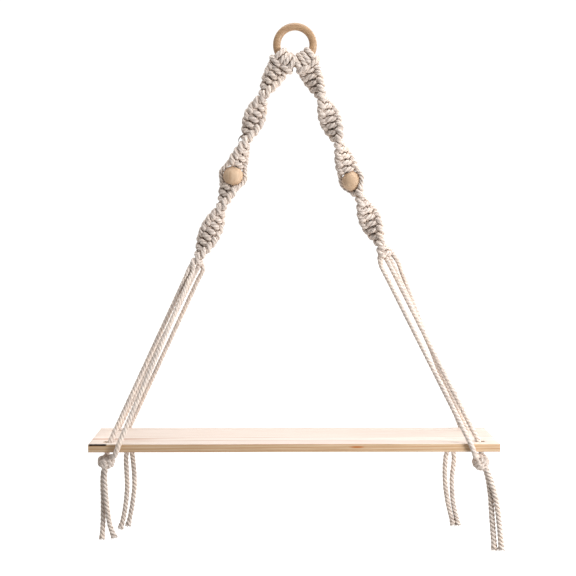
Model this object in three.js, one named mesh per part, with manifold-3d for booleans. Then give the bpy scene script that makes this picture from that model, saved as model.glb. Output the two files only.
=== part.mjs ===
// Macrame wall shelf, in millimetres. X runs to the viewer's right, Y away from the viewer, Z up.
// The origin is where the ring's inner top bears on the wall hook.
import * as THREE from "three";
import { mergeVertices } from "three/addons/utils/BufferGeometryUtils.js";
import Module from "manifold-3d";

const wasm = await Module();
wasm.setup();
const { Manifold, Mesh } = wasm;

const gap = 0.3;
const ring = { mid_radius: 22.6, tube_radius: 4.8, points_round: 32, points_across: 10 };
ring.centre_z = ring.tube_radius - ring.mid_radius;

const board = { length: 500, depth: 140, thickness: 10, centre_x: -1.6, top_z: -506.4 };
board.under_z = board.top_z - board.thickness;
const board_hole = { radius: 6.5, from_middle: 227.6, from_centreline: 50, sides: 24 };

const bead = { radius: 12.5, bore_radius: 5, points_round: 20, points_along: 8 };

// A 6 mm cord. It is squeezed where it goes round the ring and through a bead.
const cord = { radius: 2.9, sides: 8, squeezed_radius: 2.6, filler_radius: 2.3 };
const tail_twist = { ridge_radius: 3.2, groove_radius: 2.45, plies: 3, lay: 16, step_turn: 1 / 5 };
const tail_end = { flare: 1.3, flare_length: 7 };

// The knotted band: half knots round two filler strands, its wraps raised as slanting ridges.
const band = { half_width: 13.6, half_thickness: 5.6, squareness: 2.6, ridge: 0.85 };
band.knot_pitch = 8.4;
band.rows_per_knot = 3;
band.points_round = 12;
const bead_gap_along = 14.2;

const overhand = { half_width: 10, half_depth: 9, half_height: 8.2, ridge: 0.9, wraps: 3 };
overhand.rows = 8;
overhand.points_round = 12;

const P = (x, y, z) => new THREE.Vector3(x, y, z);

// Makes a solid from a closed three.js geometry, at its place.
function solid_from(geometry, place = new THREE.Matrix4()) {
  const plain = geometry.clone().applyMatrix4(place);
  plain.deleteAttribute("normal");
  plain.deleteAttribute("uv");
  const merged = mergeVertices(plain, 0.001);
  return new Manifold(
    new Mesh({
      numProp: 3,
      vertProperties: new Float32Array(merged.attributes.position.array),
      triVerts: new Uint32Array(merged.index.array),
    }),
  );
}

// A place whose own X, Y and Z run along three directions.
function placed(point, x_way, y_way, z_way) {
  return new THREE.Matrix4().makeBasis(x_way, y_way, z_way).setPosition(point);
}

// Makes a solid from a row of outlines with the same count of points. A fan of faces closes each end.
function skin(rings) {
  const count = rings[0].length;
  const points = rings.flat();
  const faces = [];
  const last = rings.length - 1;
  for (let i = 0; i < last; i++) {
    for (let j = 0; j < count; j++) {
      const k = (j + 1) % count;
      faces.push([i * count + j, i * count + k, (i + 1) * count + k]);
      faces.push([i * count + j, (i + 1) * count + k, (i + 1) * count + j]);
    }
  }
  const cap = (ring_index, turned) => {
    const middle = points.length;
    points.push(rings[ring_index].reduce((sum, p) => sum.add(p), P(0, 0, 0)).divideScalar(count));
    for (let j = 0; j < count; j++) {
      const a = ring_index * count + j;
      const b = ring_index * count + ((j + 1) % count);
      faces.push(turned ? [b, a, middle] : [a, b, middle]);
    }
  };
  cap(0, true);
  cap(last, false);
  const build = (order) =>
    new Manifold(
      new Mesh({
        numProp: 3,
        vertProperties: new Float32Array(points.flatMap((p) => [p.x, p.y, p.z])),
        triVerts: new Uint32Array(faces.flatMap(order)),
      }),
    );
  const made = build((f) => f);
  return made.volume() > 0 ? made : build((f) => [f[0], f[2], f[1]]);
}

// A round bar bent into a ring in the plane of two unit directions.
function round_ring(centre, first, second, ring_radius, bar_radius, steps, sides) {
  const torus = new THREE.TorusGeometry(ring_radius, bar_radius, sides, steps);
  return solid_from(torus, placed(centre, first, second, first.clone().cross(second)));
}

// Carries a square frame along a path without letting it turn about the path.
function carried_frames(path) {
  const frames = [];
  let across = null;
  path.forEach((point, i) => {
    const before = path[Math.max(i - 1, 0)];
    const after = path[Math.min(i + 1, path.length - 1)];
    const along = after.clone().sub(before).normalize();
    across ??= Math.abs(along.y) < 0.9 ? P(0, 1, 0) : P(1, 0, 0);
    across = across.clone().addScaledVector(along, -across.dot(along)).normalize();
    frames.push({ point, across, over: along.clone().cross(across) });
  });
  return frames;
}

// A plain round cord along a path.
function round_cord(path, radius, sides = cord.sides) {
  return skin(
    carried_frames(path).map(({ point, across, over }) =>
      Array.from({ length: sides }, (_, j) => {
        const angle = (2 * Math.PI * (j + 0.5)) / sides;
        return point
          .clone()
          .addScaledVector(across, radius * Math.cos(angle))
          .addScaledVector(over, radius * Math.sin(angle));
      }),
    ),
  );
}

// A three ply cord with its twist raised, for the loose tails. Its cut end spreads a little.
function twisted_cord(points) {
  const curve = new THREE.CatmullRomCurve3(points, false, "centripetal");
  const length = curve.getLength();
  const count = Math.round(length / (tail_twist.lay * tail_twist.step_turn));
  const path = curve.getSpacedPoints(count);
  return skin(
    carried_frames(path).map(({ point, across, over }, i) => {
      const left = length * (1 - i / count);
      const spread = 1 + (tail_end.flare - 1) * Math.max(0, 1 - left / tail_end.flare_length);
      const turn = 2 * Math.PI * i * tail_twist.step_turn;
      return Array.from({ length: 2 * tail_twist.plies }, (_, j) => {
        const angle = (Math.PI * j) / tail_twist.plies - turn;
        const r = spread * (j % 2 ? tail_twist.groove_radius : tail_twist.ridge_radius);
        return point
          .clone()
          .addScaledVector(across, r * Math.cos(angle))
          .addScaledVector(over, r * Math.sin(angle));
      });
    }),
  );
}

// The line of each band from the ring to the board, with the turn of its flat side in degrees.
// Turn 0 has the flat side to the front, and 90 has its edge to the front.
const left_line = [
  { x: -23.6, z: -51.2, turn: 0 },
  { x: -39.8, z: -81.6, turn: 90 },
  { x: -61.0, z: -136.8, turn: 270 },
  { x: -77.3, z: -180.4, turn: 362 },
  { x: -91.8, z: -219.0, turn: 450 },
  { x: -120.0, z: -281.5, turn: 630 },
  { x: -123.6, z: -291.0, turn: 652 },
];
const right_line = [
  { x: 18.7, z: -51.2, turn: 5 },
  { x: 33.1, z: -82.1, turn: 90 },
  { x: 54.4, z: -138.0, turn: 270 },
  { x: 71.3, z: -186.6, turn: 396 },
  { x: 81.4, z: -206.5, turn: 450 },
  { x: 106.6, z: -264.0, turn: 630 },
  { x: 115.0, z: -282.0, turn: 680 },
];
const bead_row = 3;

// Lark's heads: the middle of each one on the ring, in degrees below its level on one side, and its
// two legs at the same angle either side of it.
const head_angles = { left: [37, 69], right: [45, 75] };
const leg_spread = 6;
const wrap_radius = ring.tube_radius + gap + cord.squeezed_radius + 0.25;

// A place given round the ring: degrees below level, distance from its centre, and Y.
function at_ring(side, degrees, distance, y) {
  const angle = THREE.MathUtils.degToRad(degrees);
  return P(side * distance * Math.cos(angle), y, ring.centre_z - distance * Math.sin(angle));
}

function larks_heads(side_name, side, start, spread) {
  const pieces = [];
  head_angles[side_name].forEach((degrees, pair) => {
    [degrees - leg_spread, degrees + leg_spread].forEach((leg_angle, leg) => {
      const middle = at_ring(side, leg_angle, ring.mid_radius, 0);
      const outward = at_ring(side, leg_angle, 1, 0).sub(P(0, 0, ring.centre_z));
      pieces.push(round_ring(middle, outward, P(0, 1, 0), wrap_radius, cord.squeezed_radius, 12, 6));
      const below = [
        at_ring(side, leg_angle, ring.mid_radius + wrap_radius - 0.4, -1.2),
        at_ring(side, leg_angle, ring.mid_radius + wrap_radius + 3, -1),
        start.clone().addScaledVector(spread, (2 * pair + leg - 1.5) * 6),
      ];
      pieces.push(round_cord(below, cord.radius, 6));
    });
    // The bight lies across the front of its own two legs and comes from behind them.
    const bight = [
      at_ring(side, degrees - 10, 29.5, 4),
      at_ring(side, degrees - 12, 32, -2),
      at_ring(side, degrees - 8, 33, -6.2),
      at_ring(side, degrees + 8, 33, -6.2),
      at_ring(side, degrees + 12, 32, -2),
      at_ring(side, degrees + 10, 29.5, 4),
    ];
    pieces.push(round_cord(bight, cord.squeezed_radius, 6));
  });
  return pieces;
}

// One band's centre line as a curve by length, with the turn read off its rows.
function band_line(rows) {
  const curve = new THREE.CatmullRomCurve3(rows.map((r) => P(r.x, 0, r.z)), false, "centripetal");
  curve.arcLengthDivisions = 400;
  const length = curve.getLength();
  const marks = curve.getLengths(400);
  const row_at = rows.map((_, i) => marks[Math.round((400 * i) / (rows.length - 1))]);
  const frame = (s) => {
    const u = Math.min(Math.max(s / length, 0), 1);
    const point = curve.getPointAt(u);
    const along = curve.getTangentAt(u);
    const i = Math.min(Math.max(row_at.findIndex((m) => m > s) - 1, 0), rows.length - 2);
    const low = s >= length ? rows.length - 2 : i;
    const share = (s - row_at[low]) / (row_at[low + 1] - row_at[low]);
    const turn = THREE.MathUtils.degToRad(rows[low].turn + share * (rows[low + 1].turn - rows[low].turn));
    const side = P(-along.z, 0, along.x);
    const front = P(0, -1, 0);
    const edge = side.clone().multiplyScalar(Math.cos(turn)).addScaledVector(front, Math.sin(turn));
    const face = side.clone().multiplyScalar(-Math.sin(turn)).addScaledVector(front, Math.cos(turn));
    return { point, along, edge, face };
  };
  return { length, row_at, frame };
}

// A stretch of knotted band. Each wrap is a ridge that runs round the flat section and down to the right.
function knotted_band(line, from, to) {
  const knots = Math.max(1, Math.round((to - from) / band.knot_pitch));
  const rows = knots * band.rows_per_knot;
  const rings = [];
  for (let i = 0; i <= rows; i++) {
    const { point, edge, face } = line.frame(from + ((to - from) * i) / rows);
    const end_ease = Math.min(1, 0.72 + 0.28 * Math.min(i, rows - i));
    rings.push(
      Array.from({ length: band.points_round }, (_, j) => {
        const angle = (2 * Math.PI * j) / band.points_round;
        const power = 2 / band.squareness;
        const c = Math.cos(angle);
        const s = Math.sin(angle);
        const ridge = band.ridge * Math.cos((2 * Math.PI * i) / band.rows_per_knot + angle);
        const u = Math.sign(c) * Math.abs(c) ** power * (band.half_width + ridge) * end_ease;
        const v = Math.sign(s) * Math.abs(s) ** power * (band.half_thickness + ridge) * end_ease;
        return point.clone().addScaledVector(edge, u).addScaledVector(face, v);
      }),
    );
  }
  return skin(rings);
}

// The two fillers go through the bead's bore and the two workers pass on either side of it.
function strands_at_bead(line, s) {
  const filler = [-1, 1].map((way) => {
    const middle = line.frame(s);
    const path = [-17, -11, 11, 17].map((d) => {
      const straight = middle.point.clone().addScaledVector(middle.along, d);
      const point = Math.abs(d) > bead.radius ? line.frame(s + d).point : straight;
      return point.addScaledVector(middle.edge, way * 2.25);
    });
    return round_cord(path, cord.filler_radius, 6);
  });
  const beside = bead.radius + gap + cord.radius + 0.4;
  const worker = [-1, 1].map((way) => {
    const path = [
      { along: -18, out: 9.5 },
      { along: -11, out: 13.6 },
      { along: -5, out: beside - 0.5 },
      { along: 0, out: beside },
      { along: 5, out: beside - 0.5 },
      { along: 11, out: 13.6 },
      { along: 18, out: 9.5 },
    ].map((row) => {
      const { edge } = line.frame(s + row.along * 0.6);
      return line.frame(s + row.along).point.addScaledVector(edge, way * row.out);
    });
    return round_cord(path, cord.radius);
  });
  return [...filler, ...worker];
}

// A strand's way from the end of the band to its knot under the board.
const edge_clear = 1.5;
const over_edge = board.depth / 2 + edge_clear + cord.radius;
const strands = {
  left: [
    { way: "hole", y: -1, start: P(-129.3, -6, -291.4), top_x: -226.4, foot_x: -230.3 },
    { way: "edge", y: -1, start: P(-127.4, -9, -298.5), top_x: -214.3, foot_x: -217.6 },
    { way: "edge", y: 1, start: P(-115.2, 8, -291.6), top_x: -215.6, foot_x: -216.6 },
    { way: "hole", y: 1, start: P(-121.2, 5, -293.0), top_x: -227.0, foot_x: -228.6 },
  ],
  right: [
    { way: "edge", y: -1, start: P(107.6, -9, -292.7), top_x: 211.7, foot_x: 215.6 },
    { way: "hole", y: -1, start: P(117.0, -6, -289.0), top_x: 224.3, foot_x: 227.4 },
    { way: "edge", y: 1, start: P(126.5, 8, -284.0), top_x: 217.8, foot_x: 219.0 },
    { way: "hole", y: 1, start: P(121.9, 5, -287.9), top_x: 223.6, foot_x: 225.6 },
  ],
};
const knots = {
  left: [
    { y: -1, centre: P(-230.6, -57, -529.6) },
    { y: 1, centre: P(-213.8, 57, -527.6) },
  ],
  right: [
    { y: -1, centre: P(226.0, -57, -529.6) },
    { y: 1, centre: P(203.2, 57, -527.6) },
  ],
};

function strand(row, from_band, knot) {
  const y_top = row.y * (row.way === "hole" ? board_hole.from_centreline - 1 : over_edge);
  const y_foot = row.y * (row.way === "hole" ? board_hole.from_centreline + 0.8 : over_edge);
  const top = P(row.top_x, y_top, board.top_z + 1);
  const foot = P(row.foot_x, y_foot, board.under_z + (row.way === "hole" ? -1.8 : 1.5));
  const near_start = row.start.clone().lerp(top, 0.04);
  const near_top = row.start.clone().lerp(top, 0.97);
  const points = [from_band, row.start, near_start, near_top, top, foot];
  if (row.way === "edge") {
    points.push(P(row.foot_x + (knot.x - row.foot_x) * 0.2, row.y * (over_edge - 2.6), board.under_z - 4.2));
  }
  const toward = row.way === "edge" ? 6 : -1.5;
  points.push(P(knot.x + (row.foot_x - knot.x) * 0.42, knot.y + row.y * toward, board.under_z - 6.6));
  points.push(knot.clone().add(P(0, 0, 1)));
  return round_cord(points, cord.radius);
}

// The overhand knot of each pair: a round lump with its turns raised as slanting ridges.
function overhand_knot(centre) {
  const rings = [];
  for (let i = 0; i <= overhand.rows; i++) {
    const height = -Math.cos((Math.PI * (i + 0.6)) / (overhand.rows + 1.2));
    const reach = Math.sqrt(1 - height * height);
    rings.push(
      Array.from({ length: overhand.points_round }, (_, j) => {
        const angle = (2 * Math.PI * j) / overhand.points_round;
        const ridge = overhand.ridge * reach * Math.cos(overhand.wraps * Math.PI * height + angle + 0.6);
        return P(
          centre.x + (overhand.half_width + ridge) * reach * Math.cos(angle),
          centre.y + (overhand.half_depth + ridge) * reach * Math.sin(angle),
          centre.z + overhand.half_height * height,
        );
      }),
    );
  }
  return skin(rings);
}

// The loose tails below each knot, each from inside its knot to its cut end.
const tails = {
  left: [
    [
      P(-231.5, -58.5, -532),
      P(-232.6, -60.5, -545),
      P(-231.0, -61, -575),
      P(-226.6, -60, -607),
      P(-221.8, -59, -621.8),
    ],
    [
      P(-231.8, -56, -532),
      P(-235.1, -55.5, -546),
      P(-235.4, -55, -580),
      P(-235.7, -56, -607.6),
      P(-236.8, -57, -623.7),
    ],
    [
      P(-215.6, 57, -530),
      P(-217.9, 57, -541),
      P(-216.9, 57, -585),
      P(-222.0, 57, -622.3),
      P(-225.7, 57, -635.1),
    ],
    [
      P(-211.4, 57, -530),
      P(-209.7, 57, -541),
      P(-207.2, 57, -576.5),
      P(-210.1, 57, -604),
      P(-215.6, 57, -631.5),
    ],
  ],
  right: [
    [
      P(229.0, -56, -532),
      P(234.4, -56, -545),
      P(238.9, -56, -572),
      P(241.0, -56, -600),
      P(244.1, -56, -638.5),
    ],
    [
      P(229.6, -58.5, -532),
      P(237.0, -61, -551),
      P(242.4, -61.5, -575),
      P(246.5, -61, -603),
      P(252.3, -60, -637.8),
    ],
    [
      P(200.9, 57, -530),
      P(197.4, 57, -542),
      P(196.3, 57, -573),
      P(199.7, 57, -600),
      P(207.0, 57, -631.1),
    ],
    [
      P(205.5, 57, -530),
      P(207.9, 57, -542),
      P(205.4, 57, -573),
      P(206.9, 57, -600),
      P(213.6, 57, -631.2),
    ],
  ],
};

// Keeps the outer skin alone, which fills the small pockets shut in between strands that touch.
function outer_skin(solid) {
  return solid
    .simplify(0.02)
    .decompose()
    .reduce((most, part) => (part.volume() > most.volume() ? part : most));
}

function strap(side_name, rows) {
  const side = side_name === "left" ? -1 : 1;
  const line = band_line(rows);
  const bead_at = line.row_at[bead_row];
  const first = line.frame(0);
  const last = line.frame(line.length - 3);
  const pieces = [
    ...larks_heads(side_name, side, line.frame(3).point, first.edge.clone().multiplyScalar(-side)),
    knotted_band(line, 0, bead_at - bead_gap_along),
    ...strands_at_bead(line, bead_at),
    knotted_band(line, bead_at + bead_gap_along, line.length),
  ];
  for (const row of strands[side_name]) {
    const knot = knots[side_name].find((k) => k.y === row.y).centre;
    const from_band = last.point.clone().lerp(row.start, 0.35).addScaledVector(last.along, -3);
    pieces.push(strand(row, from_band, knot));
  }
  knots[side_name].forEach((k) => pieces.push(overhand_knot(k.centre)));
  tails[side_name].forEach((points) => pieces.push(twisted_cord(points)));
  return { solid: outer_skin(Manifold.union(pieces)), bead_frame: line.frame(bead_at) };
}

// A turned bead: a ball with a bore along the strap, turned from its closed profile.
function turned_bead({ point, along, edge }) {
  const reach = Math.acos(bead.bore_radius / bead.radius);
  const profile = Array.from({ length: bead.points_along + 1 }, (_, j) => {
    const rise = reach * ((2 * j) / bead.points_along - 1);
    return new THREE.Vector2(bead.radius * Math.cos(rise), bead.radius * Math.sin(rise));
  });
  profile.push(profile[0].clone());
  const ball = new THREE.LatheGeometry(profile, bead.points_round);
  return solid_from(ball, placed(point, edge, along, edge.clone().cross(along)));
}

function shelf_board() {
  const middle_z = board.top_z - board.thickness / 2;
  const blank = solid_from(
    new THREE.BoxGeometry(board.length, board.depth, board.thickness),
    new THREE.Matrix4().makeTranslation(board.centre_x, 0, middle_z),
  );
  const drill = new THREE.CylinderGeometry(
    board_hole.radius,
    board_hole.radius,
    board.thickness + 4,
    board_hole.sides,
  );
  return [-1, 1]
    .flatMap((x_way) => [-1, 1].map((y_way) => ({ x_way, y_way })))
    .reduce((solid, { x_way, y_way }) => {
      const x = board.centre_x + x_way * board_hole.from_middle;
      const centre = P(x, y_way * board_hole.from_centreline, middle_z);
      return solid.subtract(solid_from(drill, placed(centre, P(1, 0, 0), P(0, 0, 1), P(0, -1, 0))));
    }, blank);
}

// Surfaces: oiled beech, bare pine, natural cotton and a light bare wood for the beads.
const surface = (color, roughness) => new THREE.MeshStandardMaterial({ color, roughness, metalness: 0 });

const group = new THREE.Group();
function add_node(name, solid, material) {
  const { vertProperties, triVerts } = solid.getMesh();
  const geometry = new THREE.BufferGeometry();
  geometry.setAttribute("position", new THREE.BufferAttribute(new Float32Array(vertProperties), 3));
  geometry.setIndex(new THREE.BufferAttribute(new Uint32Array(triVerts), 1));
  const mesh = new THREE.Mesh(geometry, material);
  mesh.name = name;
  group.add(mesh);
}

const left = strap("left", left_line);
const right = strap("right", right_line);
const hanging_ring = round_ring(
  P(0, 0, ring.centre_z),
  P(1, 0, 0),
  P(0, 0, 1),
  ring.mid_radius,
  ring.tube_radius,
  ring.points_round,
  ring.points_across,
);
add_node("hanging_ring", hanging_ring, surface("#c9a27c", 0.5));
add_node("shelf_board", shelf_board(), surface("#e6cfb2", 0.6));
add_node("strap_left", left.solid, surface("#e0d6cc", 0.95));
add_node("strap_right", right.solid, surface("#e0d6cc", 0.95));
add_node("bead_left", turned_bead(left.bead_frame), surface("#d2b08a", 0.6));
add_node("bead_right", turned_bead(right.bead_frame), surface("#d2b08a", 0.6));

export default group;
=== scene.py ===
import math

import bpy
import bmesh
import numpy as np
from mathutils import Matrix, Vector


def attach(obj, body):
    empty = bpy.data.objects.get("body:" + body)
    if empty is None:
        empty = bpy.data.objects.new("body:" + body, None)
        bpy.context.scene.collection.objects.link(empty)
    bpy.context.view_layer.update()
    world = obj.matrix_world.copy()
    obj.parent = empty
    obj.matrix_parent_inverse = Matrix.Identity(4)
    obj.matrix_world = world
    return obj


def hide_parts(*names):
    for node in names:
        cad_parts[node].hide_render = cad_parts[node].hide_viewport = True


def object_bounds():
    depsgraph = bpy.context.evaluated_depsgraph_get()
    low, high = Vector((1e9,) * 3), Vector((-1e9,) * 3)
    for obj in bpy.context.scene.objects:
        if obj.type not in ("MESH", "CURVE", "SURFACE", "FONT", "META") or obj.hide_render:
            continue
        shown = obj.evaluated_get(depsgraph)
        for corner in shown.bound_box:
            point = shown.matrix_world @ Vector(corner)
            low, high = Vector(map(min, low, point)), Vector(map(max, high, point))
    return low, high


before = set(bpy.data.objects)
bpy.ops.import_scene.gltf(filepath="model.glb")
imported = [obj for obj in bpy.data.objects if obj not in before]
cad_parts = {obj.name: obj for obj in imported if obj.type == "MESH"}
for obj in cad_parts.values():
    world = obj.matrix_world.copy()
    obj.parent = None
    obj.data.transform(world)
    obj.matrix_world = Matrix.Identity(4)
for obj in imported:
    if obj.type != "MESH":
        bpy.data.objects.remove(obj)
cad_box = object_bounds()

# Camera
# It stands where the photographer's did: 1.86 m in front of the shelf, a little above its middle,
# turned slightly to the right and down, with a long lens.
camera_data = bpy.data.cameras.new("camera")
camera_data.sensor_width = 36
camera_data.lens = 92.956
camera = bpy.data.objects.new("camera", camera_data)
camera.location = (-0.0297, -1.8619, -0.2315)
camera.rotation_euler = (math.pi / 2 - 0.0477, 0, -0.0113)
bpy.context.scene.collection.objects.link(camera)
bpy.context.scene.camera = camera

# Floor and light
# A plain white studio: a matt grey floor well below the hung shelf, painted with a glow that turns
# it white behind the shelf, a surround that shines white behind the shelf and grey in front of it,
# and three soft lamps: one above and two on the right.


def linear(hex_colour):
    """Turns an sRGB hex colour into the linear colour that a shader socket takes."""
    shares = [int(hex_colour[i : i + 2], 16) / 255 for i in (1, 3, 5)]
    colour = [c / 12.92 if c <= 0.04045 else ((c + 0.055) / 1.055) ** 2.4 for c in shares]
    return (*colour, 1.0)


def add(tree, kind, links=None, inputs=None, **settings):
    """Adds one node with its settings, its input values and its links from other nodes' outputs."""
    node = tree.nodes.new(kind)
    for name, value in settings.items():
        setattr(node, name, value)
    for name, value in (inputs or {}).items():
        node.inputs[name].default_value = value
    for name, output in (links or {}).items():
        tree.links.new(output, node.inputs[name])
    return node


def ramp(tree, factor, *stops):
    """Adds a colour ramp whose stops are pairs of place and hex colour."""
    node = add(tree, "ShaderNodeValToRGB", links={"Fac": factor})
    elements = node.color_ramp.elements
    while len(elements) < len(stops):
        elements.new(0.5)
    for element, (place, colour) in zip(elements, stops):
        element.position = place
        element.color = linear(colour)
    return node.outputs["Color"]


def stretched(tree, place, scale):
    """A place scaled along each axis."""
    return add(
        tree,
        "ShaderNodeMapping",
        links={"Vector": place},
        inputs={"Scale": scale},
    ).outputs["Vector"]


def noise(tree, place, scale, **inputs):
    """A noise pattern's value at a place, with some of its inputs set by name."""
    return add(
        tree,
        "ShaderNodeTexNoise",
        links={"Vector": place},
        inputs={"Scale": scale, **inputs},
    ).outputs["Fac"]


def calculated(tree, operation, first, second=None):
    """One step of arithmetic on a value. The second one may be a value too, or a number."""
    node = add(tree, "ShaderNodeMath", links={0: first}, operation=operation)
    if isinstance(second, float):
        node.inputs[1].default_value = second
    elif second is not None:
        tree.links.new(second, node.inputs[1])
    return node.outputs["Value"]


def multiplied(tree, colour, tint, share=1.0):
    """A colour multiplied by a tint, in full or by a share."""
    return add(
        tree,
        "ShaderNodeMix",
        data_type="RGBA",
        blend_type="MULTIPLY",
        links={6: colour, 7: tint},
        inputs={0: share},
    ).outputs[2]


def painted(tree, colour, mask, hex_colour):
    """A colour that turns into another one where the mask is white."""
    return add(
        tree,
        "ShaderNodeMix",
        data_type="RGBA",
        links={0: mask, 6: colour},
        inputs={7: linear(hex_colour)},
    ).outputs[2]


def bumped(tree, height, strength, distance, **links):
    """A surface's direction, raised and sunk by a height over a distance in metres."""
    return add(
        tree,
        "ShaderNodeBump",
        links={"Height": height, **links},
        inputs={"Strength": strength, "Distance": distance},
    ).outputs["Normal"]


def new_material(name):
    """A material with an empty node tree and one shader, joined to its output."""
    material = bpy.data.materials.new(name)
    material.use_nodes = True
    tree = material.node_tree
    tree.nodes.clear()
    shader = add(tree, "ShaderNodeBsdfPrincipled")
    add(tree, "ShaderNodeOutputMaterial", links={"Surface": shader.outputs["BSDF"]})
    return material, tree, shader


floor_height = -1.0
bpy.ops.object.select_all(action="DESELECT")
bpy.ops.mesh.primitive_plane_add(size=60, location=(0, 0, floor_height))
floor = bpy.context.object
floor.name = "studio_floor"
floor_paint, tree, shader = new_material("studio_floor_painted_glow")
place = add(tree, "ShaderNodeTexCoord").outputs["Object"]
depth = add(tree, "ShaderNodeSeparateXYZ", links={"Vector": place}).outputs["Y"]
# Painted glow: the floor emits white, from none in front of the shelf up to 0.85 behind it.
painted_floor_glow = add(
    tree,
    "ShaderNodeMapRange",
    interpolation_type="SMOOTHSTEP",
    links={"Value": depth},
    inputs={"From Min": -0.4, "From Max": 1.2, "To Min": 0.0, "To Max": 0.85},
)
shader.inputs["Base Color"].default_value = linear("#b9b8b6")
shader.inputs["Roughness"].default_value = 0.9
shader.inputs["Emission Color"].default_value = linear("#ffffff")
tree.links.new(painted_floor_glow.outputs["Result"], shader.inputs["Emission Strength"])
floor.data.materials.append(floor_paint)

surround = bpy.data.worlds.new("white_surround")
surround.use_nodes = True
tree = surround.node_tree
tree.nodes.clear()
direction = add(tree, "ShaderNodeTexCoord").outputs["Generated"]
towards_light = add(
    tree,
    "ShaderNodeVectorMath",
    operation="DOT_PRODUCT",
    links={0: direction},
    inputs={1: (0.58, 0.79, 0.2)},
)
share = add(
    tree,
    "ShaderNodeMapRange",
    links={"Value": towards_light.outputs["Value"]},
    inputs={"From Min": -1.0, "From Max": 1.0},
)
brightness = ramp(
    tree,
    share.outputs["Result"],
    (0.1, "#868686"),
    (0.45, "#b6b6b6"),
    (0.74, "#ffffff"),
)
background = add(
    tree,
    "ShaderNodeBackground",
    links={"Color": brightness},
    inputs={"Strength": 1.09},
)
add(tree, "ShaderNodeOutputWorld", links={"Surface": background.outputs["Background"]})
bpy.context.scene.world = surround
bpy.context.scene.view_settings.view_transform = "Standard"

lamps = [
    {"name": "lamp_behind_right", "at": (1.3, 0.7, 0.6), "width": 0.9, "watts": 9},
    {"name": "lamp_above", "at": (0.0, -0.2, 1.2), "width": 1.2, "watts": 16.5},
    {"name": "lamp_low_right", "at": (1.1, -0.9, -0.32), "width": 0.45, "watts": 15.5},
]
for row in lamps:
    lamp_data = bpy.data.lights.new(row["name"], "AREA")
    lamp_data.size = row["width"]
    lamp_data.energy = row["watts"]
    lamp = bpy.data.objects.new(row["name"], lamp_data)
    lamp.location = row["at"]
    away = lamp.location - (cad_box[0] + cad_box[1]) / 2
    lamp.rotation_euler = away.to_track_quat("Z", "Y").to_euler()
    lamp.visible_camera = False
    bpy.context.scene.collection.objects.link(lamp)

# Hanging ring
# A beech ring about 55 mm across, turned from a plank and sanded, with a clear matt oil.
# It hangs on a wall hook, and both straps are mounted on its lower half.
# The sizes from here on are in millimetres, and mm turns them into metres.
mm = 0.001
ring = {"mid_radius": 22.6, "tube_radius": 4.8, "centre_z": -17.8}
sanded = {"past_share": 0.86, "thinned_to": 0.965}


def settle(piece):
    """Puts a piece's turn and place into its mesh, so that its object sits at the origin."""
    bpy.ops.object.select_all(action="DESELECT")
    piece.select_set(True)
    bpy.context.view_layer.objects.active = piece
    bpy.ops.object.transform_apply(location=True, rotation=True, scale=True)


bpy.ops.object.select_all(action="DESELECT")
bpy.ops.mesh.primitive_torus_add(
    location=(0, 0, ring["centre_z"] * mm),
    rotation=(math.pi / 2, 0, 0),
    major_radius=ring["mid_radius"] * mm,
    minor_radius=ring["tube_radius"] * mm,
    major_segments=120,
    minor_segments=36,
)
wooden_ring = bpy.context.object
wooden_ring.name = "turned_ring"
settle(wooden_ring)
# Sanding leaves the front and back of a ring a little flatter than its rims.
bpy.ops.object.mode_set(mode="EDIT")
bpy.ops.mesh.select_all(action="DESELECT")
ring_mesh = bmesh.from_edit_mesh(wooden_ring.data)
for vertex in ring_mesh.verts:
    vertex.select = abs(vertex.co.y) > sanded["past_share"] * ring["tube_radius"] * mm
ring_mesh.select_flush(True)
bmesh.update_edit_mesh(wooden_ring.data)
bpy.ops.transform.resize(
    value=(1, sanded["thinned_to"], 1),
    center_override=(0, 0, ring["centre_z"] * mm),
)
bpy.ops.object.mode_set(mode="OBJECT")
wooden_ring.data.shade_smooth()


def plain_wood(name, grain_scale, colours, fleck_colour, fleck_scale, roughness):
    """A close grained wood in Object coordinates: streaks along the grain, and dark flecks."""
    material, tree, shader = new_material(name)
    place = add(tree, "ShaderNodeTexCoord").outputs["Object"]
    grain_place = stretched(tree, place, grain_scale)
    grain = noise(tree, grain_place, 1.0, Detail=6.0, Roughness=0.6)
    streaks = ramp(tree, grain, *zip((0.3, 0.52, 0.72), colours))
    flecks = add(
        tree,
        "ShaderNodeTexVoronoi",
        links={"Vector": stretched(tree, place, fleck_scale)},
        inputs={"Scale": 1.0},
    )
    fleck_mask = ramp(tree, flecks.outputs["Distance"], (0.12, "#a0a0a0"), (0.26, "#000000"))
    flecked = painted(tree, streaks, fleck_mask, fleck_colour)
    tree.links.new(flecked, shader.inputs["Base Color"])
    tree.links.new(bumped(tree, grain, 0.15, 0.0004), shader.inputs["Normal"])
    shader.inputs["Roughness"].default_value = roughness
    return material, shader


# Oiled beech: close straight grain that crosses the ring, and brown flecks about 2 mm long.
beech, shader = plain_wood(
    "oiled_beech",
    grain_scale=(40, 420, 420),
    colours=("#a17e5e", "#b4916e", "#c2a27f"),
    fleck_colour="#96714f",
    fleck_scale=(500, 2600, 2600),
    roughness=0.48,
)
shader.inputs["Coat Weight"].default_value = 0.12
shader.inputs["Coat Roughness"].default_value = 0.35
wooden_ring.data.materials.append(beech)
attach(wooden_ring, "root")
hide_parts("hanging_ring")

# Two knotted straps
# Each strap is two soft three ply cotton cords, folded over the ring in lark's heads. The outer and
# inner ends work half knots round the two middle ones, and as every knot is tied the same way, the
# strap turns as a spiral. Below the knots the four ends run as straight strands to the board.

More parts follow.
